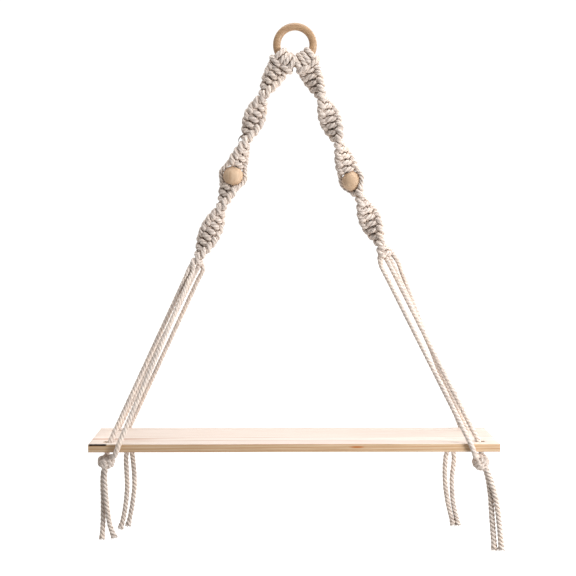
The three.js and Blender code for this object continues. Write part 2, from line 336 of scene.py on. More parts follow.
# A knot presses the plies of a cord into one: "pressed" is how far, from 0 to 1. The strands
# loosen a little on their way down, and the ones at the front more than those at the back.
cord = {
    "lay": 16.0,
    "radius": 3.05,
    "knotted_radius": 3.65,
    "ring_radius": 3.7,
    "filler_radius": 3.2,
    "bore_radius": 2.3,
    "corner_knot_radius": 3.2,
    "tail_radius": 3.35,
    "front_foot_radius": 3.5,
    "back_foot_radius": 3.15,
    "knot_pressed": 0.3,
    "strand_pressed": 0.4,
}
cord_step = 1.15
points_per_ply = 8
pressed_outline = 0.94
pressed_height = 0.75
cut_end_height = 0.45
flare_length = 8
# Slow waves that make a cord uneven: how long each one is and its size, in millimetres for the
# radius, radians for the twist and a share for each ply.
waves = {"radius": (30, 0.06), "twist": (45, 0.35), "ply": (9, 0.035)}
bloom = {
    "per_step": 0.3,
    "radius": 0.08,
    "reach": (1.2, 3.2),
    "lift": (0.5, 1.3),
    "lift_scatter": 0.4,
    "way_scatter": 0.25,
    "root_depth": 0.25,
    "tip_lift": 0.9,
}
thread_taper = 0.7
thread_step = 2.0
cm_per_mm = 0.1


def distance(start, end):
    """How far apart two places are, or two rows of places."""
    return np.linalg.norm((end - start)[..., :3], axis=-1)


def curve_through(points, step):
    """Points about one step apart on a smooth curve through the given ones. Further numbers on
    each point, such as the cord's radius there, are carried along with its place."""
    points = np.asarray(points, float)
    knots = np.vstack([2 * points[0] - points[1], points, 2 * points[-1] - points[-2]])
    made = []
    for p0, p1, p2, p3 in zip(knots, knots[1:], knots[2:], knots[3:]):
        t1 = distance(p0, p1) ** 0.5
        t2 = t1 + distance(p1, p2) ** 0.5
        t3 = t2 + distance(p2, p3) ** 0.5
        count = max(2, int(distance(p1, p2) / (step / 3)))
        t = np.linspace(t1, t2, count, endpoint=False)[:, None]
        a1 = (t1 - t) / t1 * p0 + t / t1 * p1
        a2 = (t2 - t) / (t2 - t1) * p1 + (t - t1) / (t2 - t1) * p2
        a3 = (t3 - t) / (t3 - t2) * p2 + (t - t2) / (t3 - t2) * p3
        b1 = (t2 - t) / t2 * a1 + t / t2 * a2
        b2 = (t3 - t) / (t3 - t1) * a2 + (t - t1) / (t3 - t1) * a3
        made.append((t2 - t) / (t2 - t1) * b1 + (t - t1) / (t2 - t1) * b2)
    dense = np.vstack([*made, points[-1:]])
    marks = np.concatenate([[0], np.cumsum(distance(dense[:-1], dense[1:]))])
    even = np.linspace(0, marks[-1], max(3, int(round(marks[-1] / step)) + 1))
    return np.column_stack([np.interp(even, marks, column) for column in dense.T])


def unit(vector):
    """The way a vector points, with a length of 1."""
    return vector / np.linalg.norm(vector)


def carried_frames(path):
    """Two directions across the path at each point, carried along without turning about it."""
    along = np.gradient(path, axis=0)
    along /= np.linalg.norm(along, axis=1)[:, None]
    across = np.empty_like(path)
    last = np.array([0.0, 1.0, 0.0]) if abs(along[0][1]) < 0.9 else np.array([1.0, 0.0, 0.0])
    for i, direction in enumerate(along):
        last = unit(last - direction * np.dot(last, direction))
        across[i] = last
    return across, np.cross(along, across)


def wander(count, wave, random):
    """A random wave along count points of a cord, of a given length and size."""
    reach, size = waves[wave]
    few = max(4, int(count * cord_step / reach) + 2)
    marks = np.linspace(0, few - 1, count)
    return size * np.interp(marks, np.arange(few), random.uniform(-1, 1, few))


def ply_outline():
    """The cord's outline as shares of its radius: three round plies pressed together."""
    offset, ply = 0.37, 0.63
    turn = np.linspace(-math.pi / 3, math.pi / 3, points_per_ply, endpoint=False)
    reach = offset * np.cos(turn) + np.sqrt(ply**2 - (offset * np.sin(turn)) ** 2)
    return np.tile(reach, 3), np.concatenate([turn + 2 * math.pi * i / 3 for i in range(3)])


class CordSkin:
    """Gathers cords into one mesh, with how far along and round the cord each corner lies."""

    def __init__(self):
        self.points = []
        self.faces = []
        self.corners = []
        self.heights = []

    def add_cord(self, route, seed, flare=0.0):
        """Adds a cord along route, whose rows are a place, the cord's radius there and how far a
        knot presses its plies into one, from 0 to 1."""
        random = np.random.default_rng(seed)
        path = curve_through(route, cord_step)
        path, radius, pressed = path[:, :3], path[:, 3], np.clip(path[:, 4:5], 0, 1)
        count = len(path)
        across, over = carried_frames(path)
        reach, turn = ply_outline()
        sides = len(turn)
        run = np.arange(count) * cord_step
        size = radius + wander(count, "radius", random)
        left = run[-1] - run
        size *= 1 + flare * np.clip(1 - left / flare_length, 0, 1) ** 1.5
        slow_turn = wander(count, "twist", random)
        first_turn = random.uniform(0, 6)
        twist = -2 * math.pi * run / cord["lay"] + slow_turn + first_turn
        plies = [1 + wander(count, "ply", random) for _ in range(3)]
        shape = np.column_stack([plies[j // points_per_ply] * reach[j] for j in range(sides)])
        shape = (shape + (pressed_outline - shape) * pressed) * size[:, None]
        angle = (turn[None, :] + twist[:, None])[..., None]
        spread = across[:, None, :] * np.cos(angle) + over[:, None, :] * np.sin(angle)
        skin = path[:, None, :] + spread * shape[..., None]
        self.add_bloom(skin, spread, random)
        first = len(self.points)
        self.points.extend((skin.reshape(-1, 3) * mm).tolist())
        height = (reach - reach.min()) / (reach.max() - reach.min())
        height = height + (pressed_height - height) * pressed
        self.heights.extend(height.ravel().tolist())
        girth = 2 * math.pi * cord["radius"] / sides
        for i in range(count - 1):
            here, there = first + i * sides, first + (i + 1) * sides
            for j in range(sides):
                k = (j + 1) % sides
                self.faces.append((here + j, here + k, there + k, there + j))
                low, high = j * girth, (j + 1) * girth
                self.corners.extend([(run[i], low), (run[i], high)])
                self.corners.extend([(run[i + 1], high), (run[i + 1], low)])
        last = first + (count - 1) * sides
        for ring_start, middle, at_end in ((first, path[0], False), (last, path[-1], True)):
            hub = len(self.points)
            self.points.append((middle * mm).tolist())
            self.heights.append(cut_end_height)
            for j in range(sides):
                pair = (ring_start + j, ring_start + (j + 1) % sides)
                self.faces.append((*(pair if at_end else pair[::-1]), hub))
                low, high = j * girth, (j + 1) * girth
                self.corners.extend([(0.0, low), (0.0, high), (cord["radius"], low)])
        return path

    def add_bloom(self, skin, spread, random):
        """Lays loose fibres along a cord's skin, each lifted off it in a low arc."""
        count, sides = skin.shape[:2]
        for _ in range(int(count * bloom["per_step"])):
            i, j = random.integers(3, count - 3), random.integers(sides)
            out = spread[i, j] + random.normal(0, bloom["lift_scatter"], 3)
            along = (skin[i + 1, j] - skin[i, j]) * random.choice([-1, 1])
            along = along + random.normal(0, bloom["way_scatter"], 3)
            along *= random.uniform(*bloom["reach"])
            lift = random.uniform(*bloom["lift"])
            root = skin[i, j] - out * bloom["root_depth"]
            middle = root + along * 0.5 + out * lift
            tip = root + along + out * lift * bloom["tip_lift"]
            self.add_thread([root, middle, tip], bloom["radius"])

    def add_thread(self, points, radius, height=0.8):
        """Adds one loose fibre with four sides, which tapers to its tip. A low height shades it."""
        path = np.asarray(points, float)
        across, over = carried_frames(path)
        first = len(self.points)
        for i, point in enumerate(path):
            size = radius * (1 - thread_taper * i / (len(path) - 1))
            for way in (across[i], over[i], -across[i], -over[i]):
                self.points.append(((point + way * size) * mm).tolist())
                self.heights.append(height)
        last = first + 4 * (len(path) - 1)
        self.faces.append((first + 3, first + 2, first + 1, first))
        self.faces.append((last, last + 1, last + 2, last + 3))
        self.corners.extend([(0.0, j * radius) for j in range(4)] * 2)
        for i in range(len(path) - 1):
            here, there = first + 4 * i, first + 4 * (i + 1)
            start, end = thread_step * i, thread_step * i + thread_step
            for j in range(4):
                k = (j + 1) % 4
                self.faces.append((here + j, here + k, there + k, there + j))
                self.corners.extend([(start, j), (start, j + 1), (end, j + 1), (end, j)])

    def make(self, name, material, node):
        """Makes the mesh of all that was added, with its map in centimetres of cord."""
        mesh = bpy.data.meshes.new(name)
        mesh.from_pydata(self.points, [], self.faces)
        mesh.shade_smooth()
        layer = mesh.uv_layers.new(name="along_and_round")
        corners = np.array(self.corners).ravel() * cm_per_mm
        layer.data.foreach_set("uv", corners.astype(np.float32))
        height_layer = mesh.attributes.new("ply_height", "FLOAT", "POINT")
        height_layer.data.foreach_set("value", np.array(self.heights, np.float32))
        mesh.materials.append(material)
        piece = bpy.data.objects.new(name, mesh)
        bpy.context.scene.collection.objects.link(piece)
        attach(piece, "root")
        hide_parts(node)


# Natural three ply cotton: matt, with a soft bloom of loose fibre. Its yarns run almost straight
# along the cord. They are 1.25 mm apart, which is coarser than real, so that they show.
# The furrows between the plies are painted a grey brown shade, darker the lower a point lies on its
# ply.
cotton, tree, shader = new_material("natural_three_ply_cotton")
along_round = add(tree, "ShaderNodeUVMap", uv_map="along_and_round").outputs["UV"]
yarn_place = stretched(tree, along_round, (1.3, 8, 1))
yarns = noise(tree, yarn_place, 1.0, Detail=5.0, Roughness=0.65)
yarn_tint = ramp(tree, yarns, (0.34, "#b5aba3"), (0.5, "#f1ece7"), (0.64, "#ffffff"))
ply_height = add(tree, "ShaderNodeAttribute", attribute_name="ply_height").outputs["Fac"]
# Painted shade: the plies' colour turns grey brown where their height falls towards the furrows.
ply_colour_and_furrow_shade = ramp(
    tree,
    ply_height,
    (0.0, "#92877e"),
    (0.35, "#d6ccc5"),
    (0.75, "#f3ebe5"),
    (1.0, "#f9f2ed"),
)
# Shade is painted into the creases, where one cord presses on another: the colour darkens where
# other cords close in within 3.2 mm.
creases = add(
    tree,
    "ShaderNodeAmbientOcclusion",
    samples=8,
    only_local=True,
    inputs={"Distance": 0.0032},
).outputs["AO"]
painted_crease_shade = ramp(tree, creases, (0.1, "#7d6c5f"), (0.5, "#dcd2ca"), (0.8, "#ffffff"))
place = add(tree, "ShaderNodeTexCoord").outputs["Object"]
blotches = noise(tree, place, 55.0, Detail=3.0, Roughness=0.55)
blotch_tint = ramp(tree, blotches, (0.35, "#ece8e6"), (0.5, "#fbf8f6"), (0.68, "#fff8f1"))
colour = multiplied(tree, ply_colour_and_furrow_shade, yarn_tint, 0.75)
colour = multiplied(tree, colour, blotch_tint)
colour = multiplied(tree, colour, painted_crease_shade)
tree.links.new(colour, shader.inputs["Base Color"])
fuzz = bumped(tree, noise(tree, place, 1800.0, Detail=2.0), 0.35, 0.0003)
tree.links.new(bumped(tree, yarns, 0.8, 0.0006, Normal=fuzz), shader.inputs["Normal"])
shader.inputs["Roughness"].default_value = 0.95
shader.inputs["Specular IOR Level"].default_value = 0.2
shader.inputs["Sheen Weight"].default_value = 0.35
shader.inputs["Sheen Roughness"].default_value = 0.5
shader.inputs["Sheen Tint"].default_value = linear("#fff4e8")

# The line of each strap, with the turn of its flat side in degrees: at 0 it faces the front.
strap_lines = {
    "left": [
        {"x": -23.6, "z": -51.2, "turn": 0},
        {"x": -39.8, "z": -81.6, "turn": 90},
        {"x": -61.0, "z": -136.8, "turn": 270},
        {"x": -77.3, "z": -180.4, "turn": 362},
        {"x": -91.8, "z": -219.0, "turn": 450},
        {"x": -120.0, "z": -281.5, "turn": 630},
        {"x": -123.6, "z": -291.0, "turn": 652},
    ],
    "right": [
        {"x": 18.7, "z": -51.2, "turn": 5},
        {"x": 33.1, "z": -82.1, "turn": 90},
        {"x": 54.4, "z": -138.0, "turn": 270},
        {"x": 71.3, "z": -186.6, "turn": 396},
        {"x": 81.4, "z": -206.5, "turn": 450},
        {"x": 106.6, "z": -264.0, "turn": 630},
        {"x": 115.0, "z": -282.0, "turn": 680},
    ],
}
bead_row = 3
bead = {"radius": 12.5, "bore_radius": 5.0}
knot_pitch = 8.4
bead_gap_along = 11.5
knots_from = -6.5

# The right worker's way through a half knot, in millimetres from the knot's middle: across the
# strap to its right, out of its face, and down it. It comes down the right side, hooks behind the
# left worker, crosses in front of the fillers and hooks behind the left worker again. The left
# worker goes the same way turned half round, so it crosses behind the fillers.
half_knot = [
    {"across": 11.0, "out": -0.4, "down": -3.4},
    {"across": 9.4, "out": -2.6, "down": -0.8},
    {"across": 6.2, "out": 0.4, "down": 1.4},
    {"across": 3.0, "out": 3.2, "down": 0.9},
    {"across": 0.0, "out": 4.0, "down": 0.1},
    {"across": -3.6, "out": 3.5, "down": -0.8},
    {"across": -6.7, "out": 0.9, "down": -1.5},
    {"across": -9.2, "out": -2.4, "down": -0.5},
    {"across": -11.0, "out": -1.3, "down": 2.2},
]
# A worker's way past the bead: how far down the strap it is, and how much nearer the strap's
# middle than beside the bead's widest part. The strap turns more slowly there than in its knots.
past_bead = [
    {"down": -8, "nearer": 2.7},
    {"down": -4, "nearer": 0.6},
    {"down": 0, "nearer": 0},
    {"down": 4, "nearer": 0.6},
    {"down": 8, "nearer": 2.7},
]
past_bead_turn = 0.6
beside_bead = bead["radius"] + cord["radius"] - 0.1
# The two fillers run side by side down the middle: how far each is from the strap's line in the
# knots and in the bore, and where its points start and stop, from the ends and from the bead.
filler = {
    "aside": 2.9,
    "aside_in_bore": 2.2,
    "step": 8,
    "from_top": 3,
    "above_bead": 17,
    "below_bead": 20,
    "from_foot": 4,
}
in_bore = (-12, -6, 0, 6, 12)


class StrapLine:
    """The middle line of one strap, giving a place on it and its edge and face directions."""

    def __init__(self, rows):
        self.rows = rows
        points = [(r["x"], 0, r["z"]) for r in rows]
        self.path = curve_through(points, 0.5)
        steps = np.linalg.norm(np.diff(self.path, axis=0), axis=1)
        self.marks = np.concatenate([[0], np.cumsum(steps)])
        self.length = self.marks[-1]
        near = [np.argmin(np.linalg.norm(self.path - np.array(p), axis=1)) for p in points]
        self.row_at = self.marks[near]
        self.along = np.gradient(self.path, axis=0)

    def place(self, run, across=0.0, out=0.0):
        """The place some way down the strap, across it to its right and out of its face."""
        inside = min(max(run, 0), self.length)
        point = np.array([np.interp(inside, self.marks, self.path[:, i]) for i in range(3)])
        along = unit(np.array([np.interp(inside, self.marks, self.along[:, i]) for i in range(3)]))
        turn = math.radians(np.interp(inside, self.row_at, [r["turn"] for r in self.rows]))
        side = np.array([-along[2], 0, along[0]])
        front = np.array([0, -1, 0])
        edge = side * math.cos(turn) + front * math.sin(turn)
        face = front * math.cos(turn) - side * math.sin(turn)
        return point + along * (run - inside) + edge * across + face * out


def sized(points, radius, pressed=0.0):
    """Points as rows of a place, the cord's radius there and how far its plies are pressed. The
    radius is one number, or one for each point."""
    radii = np.broadcast_to(radius, len(points))
    return [[*point, size, pressed] for point, size in zip(points, radii)]


def half_knots(line, start, end, on_left):
    """A worker's points through a stretch of half knots, and whether it ends on the left."""
    count = max(1, round((end - start) / knot_pitch))
    pitch = (end - start) / count
    points = []
    for knot in range(count):
        way = -1 if on_left else 1
        middle = start + (knot + 0.5) * pitch
        for row in half_knot:
            points.append(line.place(middle + row["down"], way * row["across"], way * row["out"]))
        on_left = not on_left
    return sized(points, cord["knotted_radius"], cord["knot_pressed"]), on_left


def worker_route(line, on_left):
    """A worker's points from the first half knot to the last, past the bead's side between."""
    bead_at = line.row_at[bead_row]
    points, on_left = half_knots(line, knots_from, bead_at - bead_gap_along, on_left)
    way = -1 if on_left else 1
    beside = []
    for row in past_bead:
        slower = bead_at + row["down"] * past_bead_turn
        aside = line.place(slower, way * (beside_bead - row["nearer"])) - line.place(slower)
        beside.append(line.place(bead_at + row["down"]) + aside)
    more, on_left = half_knots(line, bead_at + bead_gap_along, line.length, on_left)
    return points + sized(beside, cord["radius"]) + more, on_left


def filler_route(line, way):
    """A filler's points down the middle of the knots and through the bead."""
    bead_at = line.row_at[bead_row]
    above = np.arange(filler["from_top"], bead_at - filler["above_bead"], filler["step"])
    foot = line.length - filler["from_foot"]
    below = np.arange(bead_at + filler["below_bead"], foot, filler["step"])
    aside, in_bead = way * filler["aside"], way * filler["aside_in_bore"]
    return (
        sized([line.place(run, aside) for run in above], cord["filler_radius"])
        + sized([line.place(bead_at + down, in_bead) for down in in_bore], cord["bore_radius"])
        + sized([line.place(run, aside) for run in below], cord["filler_radius"])
    )


# Each lark's head: where it sits on the ring, in degrees below the ring's level, and how far its
# legs lean from the ring's spoke there towards the plumb line.
head_rows = {
    "left": [{"at": 41, "lean": 1}, {"at": 73, "lean": -17}],
    "right": [{"at": 41, "lean": 9}, {"at": 74, "lean": -16}],
}
leg_offset = 3.75
wrap_radius = ring["tube_radius"] + cord["ring_radius"]


def larks_head(side, row):
    """From one leg up the front of the ring, over it and down behind, across the front of both
    legs as a bar, and back behind and over the ring to the other leg."""
    at, leg = math.radians(row["at"]), math.radians(row["at"] + row["lean"])
    middle = np.array([side * math.cos(at), 0, -math.sin(at)]) * ring["mid_radius"]
    middle[2] += ring["centre_z"]
    outward = np.array([side * math.cos(leg), 0, -math.sin(leg)])
    onward = np.array([-side * math.sin(leg), 0, -math.cos(leg)])
    slant = wrap_radius * 0.72

    def spot(out, on, y):
        return middle + out * outward + on * onward + np.array([0, y, 0])

    def up_front(way):
        on = way * leg_offset
        closer, closest = on * 0.93, on * 0.88
        return [
            spot(11.0, on, -0.6),
            spot(slant + 1.2, on, -slant + 1.0),
            spot(1, on, -wrap_radius),
            spot(-slant, closer, -slant),
            spot(-wrap_radius, closest, 0),
            spot(-slant, closer, slant),
            spot(1, on, wrap_radius),
        ]

    bar = [
        spot(6.8, -5.0, 5.6),
        spot(9.0, -7.2, 0.0),
        spot(9.2, -5.2, -5.6),
        spot(9.4, 0.0, -7.6),
        spot(9.2, 5.2, -5.6),
        spot(9.0, 7.2, 0.0),
        spot(6.8, 5.0, 5.6),
    ]
    points = up_front(-1) + bar + up_front(1)[::-1]
    return sized(points, cord["ring_radius"], cord["knot_pressed"])


# The way of each strand from the last knot to the board: through a drilled hole or over the long
# edge, on the front (y -1) or the back (y 1). Its start, and where it meets the top and underside.
board = {"length": 500.0, "depth": 140.0, "thickness": 10.0, "centre_x": -1.6, "top_z": -506.4}
board["under_z"] = board["top_z"] - board["thickness"]
hole = {"radius": 6.5, "from_middle": 227.6, "from_centreline": 50.0}
edge_gap = 1.5
half_cord = 2.9
over_edge = board["depth"] / 2 + edge_gap + half_cord
# How far each kind of strand is from the board's centreline at its top and underside, how far
# above the underside it turns to the knot, and how far outside the knot's middle it comes in.
strand_ways = {
    "hole": {"top_out": 49.0, "foot_out": 50.8, "turns_above": -1.8, "knot_out": -1.5},
    "edge": {"top_out": over_edge, "foot_out": over_edge, "turns_above": 1.5, "knot_out": 6},
}
strands = {
    "left": [
        {"way": "hole", "y": -1, "start": (-129.3, -6, -291.4), "top_x": -226.4, "foot_x": -230.3},
        {"way": "edge", "y": -1, "start": (-127.4, -9, -298.5), "top_x": -213.6, "foot_x": -216.9},
        {"way": "edge", "y": 1, "start": (-115.2, 8, -296.4), "top_x": -214.6, "foot_x": -216.2},
        {"way": "hole", "y": 1, "start": (-121.2, 5, -293.0), "top_x": -227.0, "foot_x": -228.6},
    ],
    "right": [
        {"way": "edge", "y": -1, "start": (107.6, -9, -292.7), "top_x": 211.7, "foot_x": 215.6},
        {"way": "hole", "y": -1, "start": (117.0, -6, -289.0), "top_x": 224.3, "foot_x": 227.4},
        {"way": "edge", "y": 1, "start": (129.4, 8, -287.0), "top_x": 217.8, "foot_x": 219.0},
        {"way": "hole", "y": 1, "start": (121.9, 5, -287.9), "top_x": 223.6, "foot_x": 225.6},
    ],
}
# Each corner knot: its middle, the way its own axis points, and its half sizes along X, Y and Z.
corner_knots = {
    "left": [
        {
            "y": -1,
            "centre": (-230.6, -57, -529.6),
            "axis": (-0.6, -0.75, -0.3),
            "reach": (8.6, 7.2, 6.4),
        },
        {
            "y": 1,
            "centre": (-213.8, 57, -527.6),
            "axis": (0.5, 0.8, 0.3),
            "reach": (6.8, 6.4, 5.6),
        },
    ],
    "right": [
        {
            "y": -1,
            "centre": (226.4, -57, -530.6),
            "axis": (-0.5, -0.7, 0.5),
            "reach": (7.7, 7.2, 7.9),
        },
        {
            "y": 1,
            "centre": (203.2, 57, -527.6),
            "axis": (0.6, 0.75, -0.3),
            "reach": (6.8, 6.4, 5.6),
        },
    ],
}


def strand_route(side_name, way, y):
    """A strand's points from below the last knot, past the board, to inside its corner knot."""
    row = next(r for r in strands[side_name] if r["way"] == way and r["y"] == y)
    knot = np.array(next(k["centre"] for k in corner_knots[side_name] if k["y"] == y))
    kind = strand_ways[way]
    foot_x, under = row["foot_x"], board["under_z"]
    start = np.array(row["start"], float)
    top = np.array([row["top_x"], y * kind["top_out"], board["top_z"] + 1])
    points = [start + (top - start) * share for share in np.linspace(0, 0.97, 14)]
    points.append(top)
    points.append(np.array([foot_x, y * kind["foot_out"], under + kind["turns_above"]]))
    if way == "edge":
        # It turns in under the board on its way to the knot.
        x = foot_x + (knot[0] - foot_x) * 0.2
        points.append(np.array([x, y * (over_edge - 2.6), under - 4.2]))
    x = knot[0] + (foot_x - knot[0]) * 0.42
    points.append(np.array([x, knot[1] + y * kind["knot_out"], under - 6.6]))
    points.append(knot + np.array([0, 0, 1]))
    foot_radius = cord["front_foot_radius"] if y < 0 else cord["back_foot_radius"]
    loosened = np.linspace(cord["radius"], foot_radius, len(points))
    return sized(points, loosened, cord["strand_pressed"])


straps = {}
for side_name, side in (("left", -1), ("right", 1)):
    line = StrapLine(strap_lines[side_name])
    straps[side_name] = line
    skin = CordSkin()
    for pair, head_row in enumerate(head_rows[side_name]):
        worker_on_left = (side < 0) == (pair == 0)
        worker, ends_on_left = worker_route(line, worker_on_left)
        inside = filler_route(line, -1 if worker_on_left else 1)
        worker_end = strand_route(side_name, "edge", -1 if ends_on_left else 1)
        inside_end = strand_route(side_name, "hole", -1 if worker_on_left else 1)
        head = larks_head(side, head_row)
        if pair == 1:
            head = head[::-1]
        route = [*worker_end[::-1], *worker[::-1], *head, *inside, *inside_end]
        skin.add_cord(route, seed=11 + 2 * pair + side)
    if side_name == "left":
        # One yarn has pulled out of the strap in a small wisp. Its height of 0 paints it in the
        # furrows' grey brown shade.
        wisp = [(-63.5, -2, -129.4), (-67.4, -4, -131.2)]
        wisp += [(-69.6, -4.5, -134), (-70.6, -4, -137.8)]
        skin.add_thread(wisp, radius=1.2, height=0.0)
    skin.make(f"cotton_strap_{side_name}", cotton, f"strap_{side_name}")

# Corner knots and tails
# Under each corner of the board the two strands are tied together in one overhand knot, a lump
# with the doubled cord wrapped round it. Two tails hang from it, cut straight and a little frayed.
wrap = {"points": 30, "from_degrees": 200, "sweep": 400, "tucked_share": 0.12, "tuck": 0.6}


def knot_wrap(row, axis, degrees):
    """One cord round the lump, on a circle some degrees from an axis. It starts and ends inside."""
    axis = unit(np.array(axis, float))
    side = unit(np.cross(axis, [0.0, 0.3, 1.0]))
    up = np.cross(side, axis)
    reach = np.array(row["reach"])
    around = math.radians(degrees)
    ends = wrap["tucked_share"]
    points = []
    for share in np.linspace(0, 1, wrap["points"]):
        turn = math.radians(wrap["from_degrees"] + wrap["sweep"] * share)
        inward = max(0.0, 1 - share / ends, (share - (1 - ends)) / ends)
        aside = math.cos(turn) * side + math.sin(turn) * up
        out = math.cos(around) * axis + math.sin(around) * aside
        points.append(np.array(row["centre"]) + out * reach * (1 - wrap["tuck"] * inward))
    return sized(points, cord["corner_knot_radius"], cord["knot_pressed"])


# The middle line of each tail, from inside its knot to its cut end: two at the front, two behind.
tails = {
    "left": [
        [
            (-231.5, -58.5, -532),
            (-232.6, -60.5, -545),
            (-231.0, -61, -575),
            (-226.6, -60, -607),
            (-221.8, -59, -621.8),
        ],
        [
            (-231.8, -56, -532),
            (-235.1, -55.5, -546),
            (-235.4, -55, -580),
            (-235.7, -56, -607.6),
            (-236.8, -57, -623.7),
        ],
        [
            (-215.6, 57, -530),
            (-217.9, 57, -541),
            (-216.9, 57, -585),
            (-222.0, 57, -622.3),
            (-225.7, 57, -635.1),
        ],
        [
            (-211.4, 57, -530),
            (-209.7, 57, -541),
            (-207.2, 57, -576.5),
            (-210.1, 57, -604),
            (-215.6, 57, -631.5),
        ],
    ],
    "right": [
        [
            (229.0, -56, -532),
            (234.4, -56, -545),
            (238.9, -56, -572),
            (241.0, -56, -600),
            (244.1, -56, -638.5),
        ],
        [
            (229.6, -58.5, -532),
            (237.6, -61, -551),
            (244.6, -61.5, -575),
            (248.9, -61, -603),
            (252.3, -60, -637.8),
        ],
        [
            (200.9, 57, -530),
            (197.4, 57, -542),
            (196.3, 57, -573),
            (199.7, 57, -600),
            (207.0, 57, -631.1),
        ],
        [
            (205.5, 57, -530),
            (207.9, 57, -542),
            (205.4, 57, -573),
            (206.9, 57, -600),
            (213.6, 57, -631.2),
        ],
    ],
}
# The two tails at the front right have untwisted a little, so they are thicker.
untwisted = 0.35
tail_flare = 0.28
fray = {
    "fibres": 54,
    "radius": 0.2,
    "length": (1.0, 3.6),
    "root": 1.2,
    "spread": 1.2,
    "lean": 0.45,
    "stray": (-0.1, 0.15),
}


def frayed_end(skin, path, random):
    """Loose fibres that stand out of a tail's cut end, each a thin tapered thread."""
    end, along = path[-1], unit(path[-1] - path[-4])
    across = unit(np.cross(along, [0, 1, 0]))
    over = np.cross(along, across)
    for _ in range(fray["fibres"]):
        angle = random.uniform(0, 2 * math.pi)
        reach = cord["radius"] * fray["spread"] * math.sqrt(random.uniform(0, 1))
        out = across * math.cos(angle) + over * math.sin(angle)
        length = random.uniform(*fray["length"]) + fray["root"]
        lean = fray["lean"] * reach / cord["radius"] + random.uniform(*fray["stray"])
        root = end + out * reach - along * fray["root"]
        middle = root + (along + out * lean * 0.5) * length * 0.5
        tip = root + (along + out * lean) * length
        skin.add_thread([root, middle, tip], fray["radius"])


for side_name, side in (("left", -1), ("right", 1)):
    for row in corner_knots[side_name]:
        skin = CordSkin()
        own = row["axis"]
        crossing = (-own[1], own[0], 0.9 * own[2])
        wraps = [(own, 34), (own, 70), (own, 112), (crossing, 80)]
        for number, (axis, degrees) in enumerate(wraps):
            skin.add_cord(knot_wrap(row, axis, degrees), seed=30 + number)
        place_name = "front" if row["y"] < 0 else "back"
        skin.make(f"corner_knot_{side_name}_{place_name}", cotton, f"strap_{side_name}")
    skin = CordSkin()
    random = np.random.default_rng(7 + side)
    for number, points in enumerate(tails[side_name]):
        radius = cord["tail_radius"] + (untwisted if side > 0 and number < 2 else 0)
        path = skin.add_cord(sized(points, radius), seed=41 + number + 5 * side, flare=tail_flare)
        frayed_end(skin, path, random)
    skin.make(f"cord_tails_{side_name}", cotton, f"strap_{side_name}")

# Beads
# A turned ball of light bare wood, 25 mm across, threaded on the two fillers of each strap through
# its 10 mm bore. The rims of the bore are rounded over.
edge_rounding = 0.6
rim_margin = 0.7


def round_edges(piece, name, sharper_than):
    """Rounds a piece's edges that are sharper than a number of degrees."""
    rounding = piece.modifiers.new(name, "BEVEL")
    rounding.width = edge_rounding * mm
    rounding.segments = 3
    rounding.limit_method = "ANGLE"
    rounding.angle_limit = math.radians(sharper_than)
    bpy.ops.object.modifier_apply(modifier=rounding.name)


bare_wood, shader = plain_wood(
    "bare_turned_wood",
    grain_scale=(260, 260, 30),
    colours=("#c09f80", "#ceaf90", "#dabea0"),
    fleck_colour="#b18c66",
    fleck_scale=(2400, 2400, 420),
    roughness=0.62,
)
for side_name, line in straps.items():
    bead_at = line.row_at[bead_row]
    middle = line.place(bead_at) * mm
    down = Vector(line.place(bead_at + 1) - line.place(bead_at - 1))
    bpy.ops.object.select_all(action="DESELECT")
    bpy.ops.mesh.primitive_uv_sphere_add(segments=64, ring_count=32, radius=bead["radius"] * mm)
    turned_bead = bpy.context.object
    turned_bead.name = f"turned_bead_{side_name}"
    # The two caps over the bore are cut away, and the bore's wall joins the edges left behind.
    bpy.ops.object.mode_set(mode="EDIT")
    bpy.ops.mesh.select_all(action="DESELECT")
    bead_mesh = bmesh.from_edit_mesh(turned_bead.data)
    for vertex in bead_mesh.verts:
        from_axis = math.hypot(vertex.co.x, vertex.co.y)
        vertex.select = from_axis < (bead["bore_radius"] - rim_margin) * mm
    bead_mesh.select_flush(True)
    bmesh.update_edit_mesh(turned_bead.data)
    bpy.ops.mesh.delete(type="VERT")
    bead_mesh = bmesh.from_edit_mesh(turned_bead.data)
    for edge in bead_mesh.edges:
        edge.select = edge.is_boundary
    bmesh.update_edit_mesh(turned_bead.data)
    bpy.ops.mesh.bridge_edge_loops(number_cuts=6, interpolation="LINEAR")
    bpy.ops.mesh.select_all(action="SELECT")
    bpy.ops.mesh.normals_make_consistent(inside=False)
    bpy.ops.object.mode_set(mode="OBJECT")
    round_edges(turned_bead, "rounded_rims", sharper_than=35)
    turned_bead.rotation_euler = down.to_track_quat("Z", "Y").to_euler()
    turned_bead.location = middle
    settle(turned_bead)
    turned_bead.data.shade_smooth()
    turned_bead.data.materials.append(bare_wood)
    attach(turned_bead, "root")
    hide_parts(f"bead_{side_name}")

